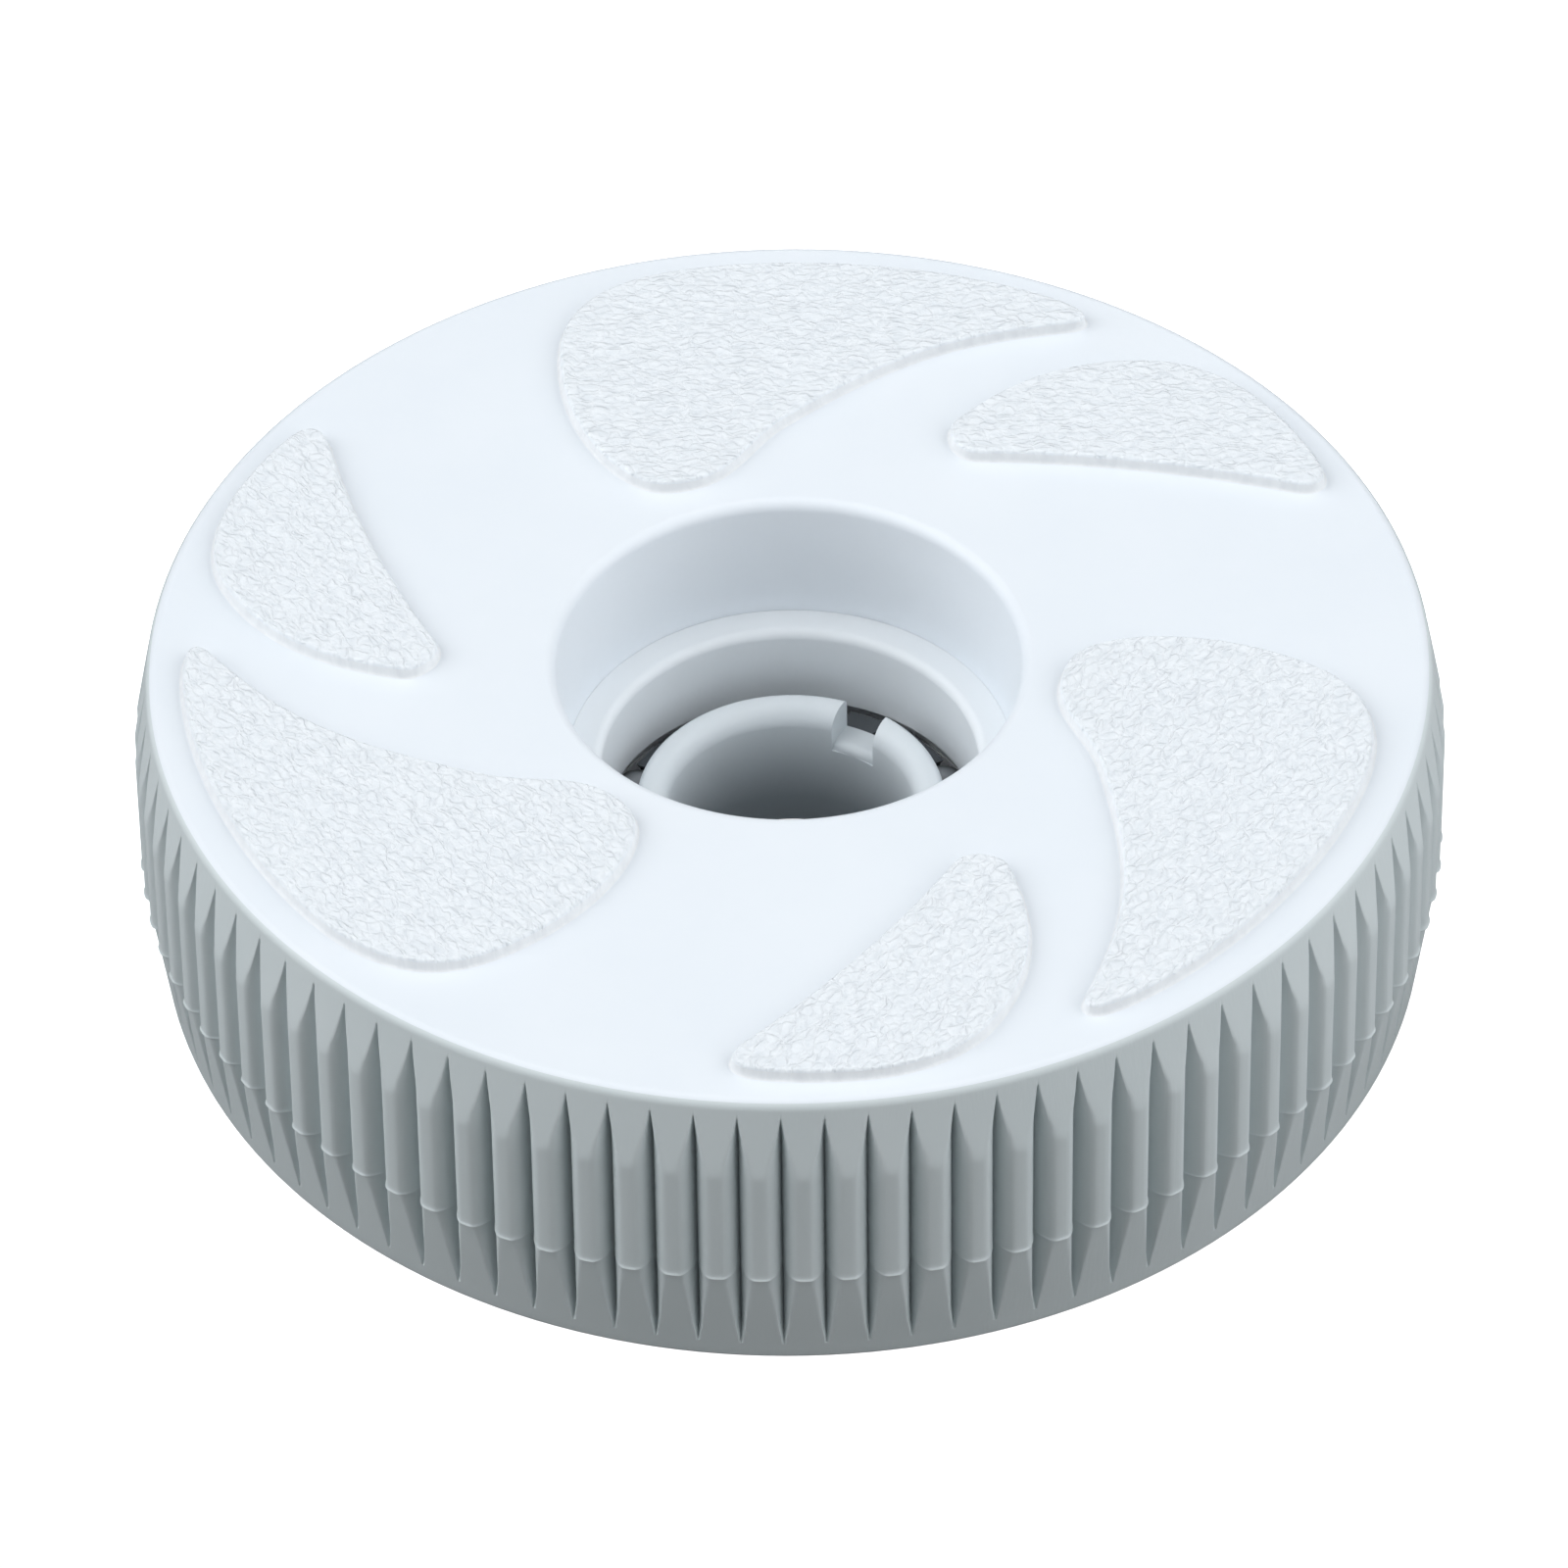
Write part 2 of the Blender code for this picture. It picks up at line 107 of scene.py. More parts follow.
# ---- wheel, inside
FACE_WALL = 3.2 * MM
TREAD_WALL = 2.0 * MM
HUB_WALL = 3.5 * MM
WEB_COUNT = 6
WEB_THICKNESS = 2.4 * MM
WEB_BACK_SET = 2.0 * MM
HUB_BACK_SET = 1.0 * MM
HUB_END_WALL = 1.7 * MM
RIM_REBATE = 0.4 * MM
POCKET_CORNER = 1.5 * MM
RECESS_RADIUS = 21.2 * MM
RECESS_EDGE = 1.1 * MM
SHOULDER_LIP = 2.8 * MM
SEAT_FLOOR_Z = 5.2 * MM
SEAT_GAP = 0.3 * MM
POCKET_TOOL_REACH = 5.0 * MM
BORE_TOOL_REACH = 3.0 * MM

# ---- where one finish ends and the next begins; the tread's finish carries painted shade
PAD_TOP_RISE = 0.9 * MM
PAD_WALL_RISE = 0.02 * MM
TREAD_FINISH_DEPTH = 0.6 * MM
TREAD_FINISH_DROP = 0.3 * MM

# ---- bearing
RUN_GAP = 0.3 * MM
OUTER_RACE_BORE = 17.3 * MM
OUTER_RACE_EDGE = 0.9 * MM
INNER_RACE_BORE = 11.4 * MM
INNER_RACE_EDGE = 0.7 * MM
NOSE_ROUND = 2.0 * MM
NOTCH_EDGE = 0.9 * MM
NOTCH_WIDTH = 4.4 * MM
NOTCH_DEPTH = 3.4 * MM
NOTCH_ANGLE = 59.0
NOTCH_TOOL_RISE = 2.0 * MM
SMALL_EDGE = 0.25 * MM
SLEEVE_SOFTNESS = 0.32 * MM
CAGE_SOFTNESS = 0.12 * MM
SEAT_FILL = 0.92

# ---- derived
OUTER_RACE_RADIUS = FRONT_HIGH[0]
INNER_RACE_RADIUS = INNER_HIGH[0]
PITCH_RADIUS = (OUTER_RACE_BORE + INNER_RACE_RADIUS) / 2.0
BALL_RADIUS = (BALL_HIGH[2] - BALL_LOW[2]) / 2.0
BALL_PLANE_Z = (BALL_HIGH[2] + BALL_LOW[2]) / 2.0
RACEWAY_RADIUS = BALL_RADIUS + RUN_GAP
SEAT_RADIUS = OUTER_RACE_RADIUS + SEAT_GAP
HUB_RADIUS = SEAT_RADIUS + HUB_WALL
RACE_SEAT_RADIUS = OUTER_RACE_RADIUS + SEAT_GAP * SEAT_FILL
TREAD_BORE = CREST_RADIUS + FLASH_PROUD - RIB_DEPTH - TREAD_WALL
FINE_STEPS = 192

# ---- colours: the lighter and the darker share of each mottled finish
FACE_WHITE = ((0.82, 0.86, 0.90), (0.795, 0.84, 0.885))
# painted shade: the tread's white is a darker copy of the face's white, for the sideways tread that gets
# less light
TREAD_SHADED_WHITE = ((0.69, 0.745, 0.755), (0.66, 0.72, 0.73))
# on the pad tops the darker of these two follows the wrinkles' hollows: painted shade
PAD_WHITE = ((0.84, 0.875, 0.905), (0.765, 0.805, 0.84))
PAD_WALL_WHITE = ((0.83, 0.85, 0.865), (0.77, 0.79, 0.81))
RACE_WHITE = ((0.85, 0.88, 0.90), (0.82, 0.855, 0.88))
SLEEVE_WHITE = ((0.77, 0.81, 0.83), (0.74, 0.785, 0.81))
CAGE_GREY = ((0.10, 0.11, 0.12), (0.07, 0.08, 0.09))
STEEL = ((0.33, 0.34, 0.35), (0.26, 0.27, 0.28))
PAPER = ((0.95, 0.95, 0.95), (0.93, 0.93, 0.93))
SPECK = (0.10, 0.10, 0.10)
# painted shade: this grey and the two heights under it darken the sleeve's bore toward its foot
BORE_SHADE_GREY = (0.36, 0.395, 0.42)
SLEEVE_BORE_SHADE_HEIGHTS = (4.0 * MM, 12.5 * MM)
COOL_LIGHT = (0.96, 0.98, 1.0, 1.0)
WHITE_LIGHT = (1.0, 1.0, 1.0, 1.0)
BLACK = (0.0, 0.0, 0.0, 1.0)

# ---- studio: soft patches of sky (turn, height, inner and outer reach in degrees, strength)
SKY = [
    (0.0, 45.0, 5.0, 48.0, 2.15),
    (180.0, 45.0, 5.0, 48.0, 2.55),
    (0.0, 14.0, 2.0, 30.0, 0.30),
    (180.0, 14.0, 2.0, 30.0, 1.15),
    (235.0, 14.0, 2.0, 30.0, 0.50),
    (315.0, 14.0, 2.0, 30.0, 1.75),
]
# cards lying on the paper: turn in degrees, strength
CARDS = [
    (0.0, 0.25),
    (180.0, 0.03),
    (270.0, 0.06),
]
CARD_HALF_TURN = 44.0
CARD_INNER = 0.085
CARD_OUTER = 0.50
CARD_LIFT = 0.0001
FLOOR_GLOW = 1.0
FLOOR_HALF = 2.5

# ---- camera
CAMERA_HEIGHT = math.radians(41.83)
CAMERA_DISTANCE = 1.0347
CAMERA_ROLL = -0.0144
CAMERA_LENS = 261.1
LOOK_AT = Vector((-0.0006, 0.0, 0.0160))


# ---------------------------------------------------------------- mesh helpers
def mesh_object(name, bm, mats=()):
    bmesh.ops.recalc_face_normals(bm, faces=bm.faces)
    mesh = bpy.data.meshes.new(name)
    bm.to_mesh(mesh)
    bm.free()
    obj = bpy.data.objects.new(name, mesh)
    bpy.context.scene.collection.objects.link(obj)
    for mat in mats:
        mesh.materials.append(mat)
    return obj


def smooth(obj, angle_deg=32.0):
    """Smooth shading with crisp edges above the angle; flat faces keep flat normals."""
    mesh = obj.data
    mesh.shade_smooth()
    mesh.set_sharp_from_angle(angle=math.radians(angle_deg))
    even = obj.modifiers.new("even_normals", "WEIGHTED_NORMAL")
    even.keep_sharp = True
    even.weight = 90


def soften(obj, width, segments, angle_deg=40.0):
    """Rounds the edges that are sharper than the angle."""
    round_off = obj.modifiers.new("edges", "BEVEL")
    round_off.width = width
    round_off.segments = segments
    round_off.limit_method = "ANGLE"
    round_off.angle_limit = math.radians(angle_deg)


def combine(target, tool, operation):
    mod = target.modifiers.new("combine", "BOOLEAN")
    mod.operation = operation
    mod.solver = "EXACT"
    mod.object = tool
    bpy.context.view_layer.update()
    graph = bpy.context.evaluated_depsgraph_get()
    result = bpy.data.meshes.new_from_object(target.evaluated_get(graph))
    target.modifiers.clear()
    old = target.data
    target.data = result
    bpy.data.meshes.remove(old)
    spent = tool.data
    bpy.data.objects.remove(tool, do_unlink=True)
    bpy.data.meshes.remove(spent)


def arc(cx, cy, radius, start_deg, end_deg, steps):
    points = []
    for k in range(steps + 1):
        angle = math.radians(start_deg + (end_deg - start_deg) * k / steps)
        points.append((cx + radius * math.cos(angle), cy + radius * math.sin(angle)))
    return points


def turned(points, angle_deg):
    spin = Matrix.Rotation(math.radians(angle_deg), 2)
    return [tuple(spin @ Vector(point)) for point in points]


def lathe(name, profile, mats=()):
    """Solid of revolution about Z from a closed outline of (radius, z) points."""
    bm = bmesh.new()
    rings = []
    for k in range(FINE_STEPS):
        turn = 2.0 * math.pi * k / FINE_STEPS
        rings.append([bm.verts.new((r * math.cos(turn), r * math.sin(turn), z)) for r, z in profile])
    count = len(profile)
    for k in range(FINE_STEPS):
        here = rings[k]
        there = rings[(k + 1) % FINE_STEPS]
        for j in range(count):
            after = (j + 1) % count
            bm.faces.new((here[j], there[j], there[after], here[after]))
    bmesh.ops.remove_doubles(bm, verts=bm.verts, dist=1e-7)
    return mesh_object(name, bm, mats)


def add_stack(bm, outlines):
    """Adds a closed solid between stacked outlines, each (list of (x, y), z)."""
    rings = [[bm.verts.new((x, y, z)) for x, y in points] for points, z in outlines]
    count = len(rings[0])
    for low, high in zip(rings, rings[1:]):
        for j in range(count):
            after = (j + 1) % count
            bm.faces.new((low[j], low[after], high[after], high[j]))
    bm.faces.new(list(reversed(rings[0])))
    bm.faces.new(rings[-1])


def blend_between(table, z):
    """Straight-line reading of a short list of (z, value)."""
    for (z0, v0), (z1, v1) in zip(table, table[1:]):
        if z <= z1:
            share = (z - z0) / (z1 - z0)
            return v0 + (v1 - v0) * share
    return table[-1][1]


# ---------------------------------------------------------------- tread
def crest_radius(z):
    """Radius of the ribs' crests at height z, a step lower behind the parting line."""
    step = PARTING_STEP if z < PARTING_Z else 0.0
    back = BACK_CREST_RADIUS + PARTING_STEP
    table = [(0.0, back), (PARTING_Z, CREST_RADIUS), (SHOULDER_Z, CREST_RADIUS), (FACE_Z, FACE_RADIUS)]
    return blend_between(table, z) - step


def groove_lift(z):
    """How far the grooves rise toward either rim at height z, a little deeper behind the parting line."""
    front = max(z - GROOVE_FRONT_END, 0.0) / MM
    back = max(GROOVE_BACK_END - z, 0.0) / MM
    sink = GROOVE_SINK if z < PARTING_Z else 0.0
    return (GROOVE_FRONT_LIFT * front * front + GROOVE_BACK_LIFT * back * back) * MM - sink


def soft_least(a, b, reach):
    """The smaller of two radii, rounded over where they cross."""
    near = max(reach - abs(a - b), 0.0) / reach
    return min(a, b) - near * near * reach * 0.25


def rib_section(z):
    """Half of one groove and its elliptical rib, as (distance from the groove, radius)."""
    crest = crest_radius(z)
    lift = groove_lift(z)
    corner = FRONT_CORNER if z >= PARTING_Z else BACK_CORNER
    trim = min(max((CREST_RADIUS + lift - crest) / RIB_DEPTH, 0.0), 1.0)
    edge = HALF_PITCH * (1.0 - math.sqrt(1.0 - (1.0 - trim) ** 2))
    edge = min(max(edge, LEAST_EDGE), MOST_EDGE)
    section = []
    for away in [share * edge for share in EDGE_SHARES] + [HALF_PITCH]:
        across = 1.0 - math.hypot(away, GROOVE_ROUND) / math.hypot(HALF_PITCH, GROOVE_ROUND)
        rib = CREST_RADIUS + corner + lift - RIB_DEPTH * (1.0 - math.sqrt(1.0 - across * across))
        section.append((away, soft_least(crest, rib, corner)))
    return section


def tread_ring(z, grow=0.0):
    """Closed ring of points round the tread at height z."""
    half = rib_section(z)
    section = [(-away, radius) for away, radius in reversed(half[1:-1])] + half
    points = []
    for k in range(RIB_COUNT):
        centre = RIB_START + k * 2.0 * math.pi / RIB_COUNT
        for away, radius in section:
            angle = centre + away / CREST_RADIUS
            points.append(((radius + grow) * math.cos(angle), (radius + grow) * math.sin(angle)))
    return points


def wheel_blank():
    """The wheel without its pads, pockets and bore: a stack of tread rings with rounded rims."""
    stack = []
    for angle_deg in (0.0, 30.0, 60.0, 90.0):
        lean = math.radians(angle_deg)
        z = BACK_EDGE * (1.0 - math.cos(lean))
        stack.append((tread_ring(BACK_EDGE, BACK_EDGE * (math.sin(lean) - 1.0)), z))
    for z in BACK_RINGS:
        stack.append((tread_ring(z * MM), z * MM))
    for rise, proud in BEAD:
        stack.append((tread_ring(PARTING_Z, proud * FLASH_PROUD), PARTING_Z + rise * MM))
    for z in FRONT_RINGS:
        stack.append((tread_ring(z * MM), z * MM))
    edge_z = FACE_Z - RIM_EDGE
    for angle_deg in (0.0, 15.0, 30.0, 45.0, 60.0, 75.0, 90.0):
        lean = math.radians(angle_deg)
        z = edge_z + RIM_EDGE * math.sin(lean)
        stack.append((tread_ring(z, -RIM_EDGE * (1.0 - math.cos(lean))), z))
    bm = bmesh.new()
    add_stack(bm, stack)
    return mesh_object("wheel_body_fine", bm)


# ---------------------------------------------------------------- pads
def away_from(start, heading_deg, reach):
    heading = math.radians(heading_deg)
    return start + Vector((math.cos(heading), math.sin(heading))) * reach


def band_outline(nodes):
    """Closed outline in the band between the recess lip and the pad rim.

    A node is a turn about the axis, a place across the band from 0 at the lip to 1 at the pad
    rim, a heading from the outward direction, and its reach behind and ahead in band widths.
    """
    lip = RECESS_RADIUS + PAD_LIP_INSET
    band = FACE_RADIUS - PAD_RIM_INSET - lip
    knots = []
    for turn_deg, place, heading_deg, behind, ahead in nodes:
        spot = away_from(Vector((0.0, 0.0)), turn_deg, lip + place * band)
        before = away_from(spot, turn_deg + heading_deg, -behind * band)
        after = away_from(spot, turn_deg + heading_deg, ahead * band)
        knots.append((before, spot, after))
    points = []
    for k, (_, p0, p1) in enumerate(knots):
        p2, p3, _ = knots[(k + 1) % len(knots)]
        for j in range(CURVE_STEPS):
            t = j / CURVE_STEPS
            u = 1.0 - t
            point = p0 * u ** 3 + p1 * 3.0 * u * u * t + p2 * 3.0 * u * t * t + p3 * t ** 3
            points.append((point.x, point.y))
    return points


def even_spacing(points, count):
    """The same closed outline with its points an equal distance apart."""
    lengths = [0.0]
    closed = points + [points[0]]
    for a, b in zip(closed, closed[1:]):
        lengths.append(lengths[-1] + math.dist(a, b))
    total = lengths[-1]
    spots = []
    j = 0
    for k in range(count):
        want = total * k / count
        while lengths[j + 1] < want:
            j += 1
        share = (want - lengths[j]) / (lengths[j + 1] - lengths[j])
        a = Vector(closed[j])
        b = Vector(closed[j + 1])
        spots.append(tuple(a.lerp(b, share)))
    return spots


def pad_outlines():
    """The large pad sweeps from the rim in to the hub; the small one fills the space behind it."""
    large = [
        (58.9, 0.992, 53.0, 0.028, 0.025),
        (63.5, 1.010, 90.0, 0.055, 0.334),
        (100.4, 0.997, 91.0, 0.334, 0.190),
        (116.0, 0.787, 151.0, 0.196, 0.331),
        (115.7, 0.105, 247.0, 0.132, 0.199),
        (90.4, 0.304, 311.0, 0.160, 0.482),
        (59.2, 0.937, 309.0, 0.304, 0.025),
    ]
    small = [
        (25.3, 1.005, 67.0, 0.058, 0.043),
        (35.9, 1.028, 89.0, 0.138, 0.098),
        (49.3, 0.926, 127.0, 0.166, 0.248),
        (63.5, 0.392, 165.0, 0.221, 0.031),
        (56.4, 0.310, 302.0, 0.080, 0.218),
        (25.3, 0.900, 317.0, 0.337, 0.049),
    ]
    return [
        even_spacing(band_outline(large), LARGE_PAD_POINTS),
        even_spacing(band_outline(small), SMALL_PAD_POINTS),
    ]


def offset(points, amount, rough, seed):
    """Outline moved outward by the amount, with a fine ragged share."""
    moved = []
    count = len(points)
    for k, (x, y) in enumerate(points):
        heading = (Vector(points[(k + 1) % count]) - Vector(points[k - 1])).normalized()
        outward = Vector((heading.y, -heading.x))
        jitter = rough * noise.noise(Vector((x * RAGGED_SCALE, y * RAGGED_SCALE, seed)))
        spot = Vector((x, y)) + outward * (amount + jitter)
        moved.append((spot.x, spot.y))
    return moved


def weld_pads(body):
    """Each pad: a soft foot on the face, a slightly ragged wall, a rounded top edge."""
    bm = bmesh.new()
    for number, outline in enumerate(pad_outlines()):
        for k in range(PAD_REPEAT):
            stack = []
            for height, out, rough in PAD_EDGE:
                seed = 7.3 * k + 3.1 * number + height
                ring = offset(outline, out * MM, rough * MM * RAGGED_GAIN, seed)
                stack.append((turned(ring, 360.0 * k / PAD_REPEAT), FACE_Z + height * MM))
            add_stack(bm, stack)
    combine(body, mesh_object("pads", bm), "UNION")


# ---------------------------------------------------------------- wheel, cut from the blank
def pocket_tool():
    """The six pockets between the webs, open to the back."""
    gap = WEB_THICKNESS / 2.0
    half = 180.0 / WEB_COUNT
    inner = half - math.degrees(math.asin(gap / HUB_RADIUS))
    outer = half - math.degrees(math.asin(gap / TREAD_BORE))
    ring = arc(0.0, 0.0, TREAD_BORE, -outer, outer, 32)
    ring += arc(0.0, 0.0, HUB_RADIUS, inner, -inner, 16)
    bm = bmesh.new()
    for k in range(WEB_COUNT):
        shape = turned(ring, half + 360.0 * k / WEB_COUNT)
        add_stack(bm, [(shape, -POCKET_TOOL_REACH), (shape, FACE_Z - FACE_WALL)])
    tool = mesh_object("pockets", bm)
    soften(tool, POCKET_CORNER, 5, 50.0)
    return tool


def relief_tool():
    """Sets the webs and the hub's end back from the back rim."""
    rebate = TREAD_BORE + RIM_REBATE
    hub_end = SEAT_RADIUS + HUB_END_WALL
    below = -POCKET_TOOL_REACH
    return lathe("relief", [
        (0.0, below), (rebate, below), (rebate, WEB_BACK_SET), (hub_end, WEB_BACK_SET),
        (hub_end, HUB_BACK_SET), (0.0, HUB_BACK_SET),
    ])


def bore_tool():
    """The shoulder, the bearing's seat and the recess with its rounded lip."""
    shoulder = SEAT_RADIUS - SHOULDER_LIP
    below = -BORE_TOOL_REACH
    above = FACE_Z + BORE_TOOL_REACH
    lip = RECESS_RADIUS + RECESS_EDGE
    profile = [
        (0.0, above), (0.0, below), (shoulder, below), (shoulder, SEAT_FLOOR_Z),
        (SEAT_RADIUS, SEAT_FLOOR_Z), (SEAT_RADIUS, FRONT_HIGH[2]),
    ]
    profile += arc(lip, FACE_Z - RECESS_EDGE, RECESS_EDGE, 180.0, 90.0, 8)
    profile += [(lip, above)]
    return lathe("bore", profile)


def cut_wheel(body):
    combine(body, pocket_tool(), "DIFFERENCE")
    combine(body, relief_tool(), "DIFFERENCE")
    combine(body, bore_tool(), "DIFFERENCE")


def grain_map(mesh):
    """A map in millimetres on the pads, turned with each of the three repeats."""
    layer = mesh.uv_layers.new(name="grain")
    sector = 2.0 * math.pi / PAD_REPEAT
    for poly in mesh.polygons:
        middle = poly.center
        turn = (math.atan2(middle.y, middle.x) - SECTOR_START) % (2.0 * math.pi)
        angle = -sector * math.floor(turn / sector)
        for loop in poly.loop_indices:
            spot = mesh.vertices[mesh.loops[loop].vertex_index].co
            x = spot.x * math.cos(angle) - spot.y * math.sin(angle)
            y = spot.x * math.sin(angle) + spot.y * math.cos(angle)
            layer.data[loop].uv = (x / MM, y / MM)


def finish_wheel(mesh, mats):
    """Gives each face of the wheel the finish of the face, pad top, pad wall or tread, in that order; the
    tread's is darkened with painted shade.
    """
    mesh.materials.clear()
    for mat in mats:
        mesh.materials.append(mat)
    tread_from = BACK_CREST_RADIUS - TREAD_FINISH_DEPTH
    for poly in mesh.polygons:
        middle = poly.center
        poly.material_index = 0
        if middle.z > FACE_Z + PAD_TOP_RISE:
            poly.material_index = 1
        elif middle.z > FACE_Z + PAD_WALL_RISE:
            poly.material_index = 2
        elif middle.z < FACE_Z - TREAD_FINISH_DROP and math.hypot(middle.x, middle.y) > tread_from:
            poly.material_index = 3


def build_wheel(mats):
    body = wheel_blank()
    cut_wheel(body)
    weld_pads(body)
    body.data.name = "wheel_body_fine"
    finish_wheel(body.data, mats)
    grain_map(body.data)
    smooth(body, 34.0)
    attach(body, "wheel")
    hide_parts("wheel_body")


# ---------------------------------------------------------------- bearing
def raceway(side, low_deg, high_deg, steps):
    """Groove the balls run in: side 1 in the outer race, side -1 in the sleeve."""
    points = []
    for k in range(steps + 1):
        angle = math.radians(low_deg + (high_deg - low_deg) * k / steps)
        radius = PITCH_RADIUS + side * RACEWAY_RADIUS * math.cos(angle)
        points.append((radius, BALL_PLANE_Z + RACEWAY_RADIUS * math.sin(angle)))
    return points


def build_races(mat):
    """The outer race, split into a front and a back ring in the wheel's seat."""
    mouth = math.degrees(math.acos((OUTER_RACE_BORE - PITCH_RADIUS) / RACEWAY_RADIUS))
    split = math.degrees(math.asin((FRONT_LOW[2] - BALL_PLANE_Z) / RACEWAY_RADIUS))
    top = FRONT_HIGH[2]
    edge = OUTER_RACE_EDGE
    seat = RACE_SEAT_RADIUS
    front = raceway(1.0, split, mouth, 10)
    front += arc(OUTER_RACE_BORE + edge, top - edge, edge, 180.0, 90.0, 8)
    front += [(seat, top), (seat, FRONT_LOW[2])]
    back = arc(OUTER_RACE_BORE + SMALL_EDGE, BACK_LOW[2] + SMALL_EDGE, SMALL_EDGE, 270.0, 180.0, 4)
    back += raceway(1.0, -mouth, -split, 10)
    back += [(seat, BACK_HIGH[2])]
    back += arc(seat - SMALL_EDGE, BACK_LOW[2] + SMALL_EDGE, SMALL_EDGE, 0.0, -90.0, 4)
    for name, profile in (("bearing_outer_race_front", front), ("bearing_outer_race_back", back)):
        ring = lathe(name + "_fine", profile, [mat])
        smooth(ring)
        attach(ring, "wheel")
        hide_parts(name)


def notch_tool(nose):
    """Square notch whose floor rolls over into the bore."""
    floor = nose - NOTCH_DEPTH
    top = nose + NOTCH_TOOL_RISE
    near = 0.7 * INNER_RACE_BORE
    far = 1.2 * INNER_RACE_RADIUS
    side = [(far, floor), (far, top), (near, top), (near, floor - NOTCH_EDGE)]
    side += arc(INNER_RACE_BORE + NOTCH_EDGE, floor - NOTCH_EDGE, NOTCH_EDGE, 180.0, 90.0, 8)
    bm = bmesh.new()
    add_stack(bm, [(side, -NOTCH_WIDTH / 2.0), (side, NOTCH_WIDTH / 2.0)])
    tool = mesh_object("notch", bm)
    upright = Matrix.Rotation(math.radians(90.0), 4, "X")
    tool.data.transform(Matrix.Rotation(math.radians(NOTCH_ANGLE), 4, "Z") @ upright)
    return tool


def build_sleeve(mat):
    """Inner race with a rounded nose and the square notch, whose own edges are softened."""
    mouth = math.degrees(math.acos((PITCH_RADIUS - INNER_RACE_RADIUS) / RACEWAY_RADIUS))
    nose = INNER_HIGH[2]
    low = INNER_LOW[2]
    edge = INNER_RACE_EDGE
    profile = arc(INNER_RACE_BORE + SMALL_EDGE, low + SMALL_EDGE, SMALL_EDGE, 180.0, 270.0, 4)
    profile += arc(INNER_RACE_RADIUS - SMALL_EDGE, low + SMALL_EDGE, SMALL_EDGE, 270.0, 360.0, 4)
    profile += raceway(-1.0, -mouth, mouth, 20)
    profile += arc(INNER_RACE_RADIUS - edge, nose - edge, edge, 0.0, 90.0, 6)
    profile += arc(INNER_RACE_BORE + NOSE_ROUND, nose - NOSE_ROUND, NOSE_ROUND, 90.0, 180.0, 10)
    sleeve = lathe("bearing_inner_race_fine", profile)
    combine(sleeve, notch_tool(nose), "DIFFERENCE")
    sleeve.data.materials.clear()
    sleeve.data.materials.append(mat)
    soften(sleeve, SLEEVE_SOFTNESS, 3)
    smooth(sleeve)
    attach(sleeve, "axle_sleeve")
    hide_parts("bearing_inner_race")


def build_balls(mat):
    for name in BALLS:
        low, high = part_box(name)
        centre = (Vector(low) + Vector(high)) / 2.0
        bm = bmesh.new()
        bmesh.ops.create_icosphere(bm, subdivisions=4, radius=BALL_RADIUS)
        bmesh.ops.translate(bm, verts=bm.verts, vec=centre)
        ball = mesh_object(name + "_fine", bm, [mat])
        ball.data.shade_smooth()
        number = name.rsplit("_", 1)[1]
        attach(ball, "ball_" + number)
        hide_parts(name)


def finish_cage(mat):
    """The cage keeps its CAD shape, with softened edges and its own finish."""
    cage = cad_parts["bearing_cage"]
    cage.data.materials.clear()
    cage.data.materials.append(mat)
    soften(cage, CAGE_SOFTNESS, 2)


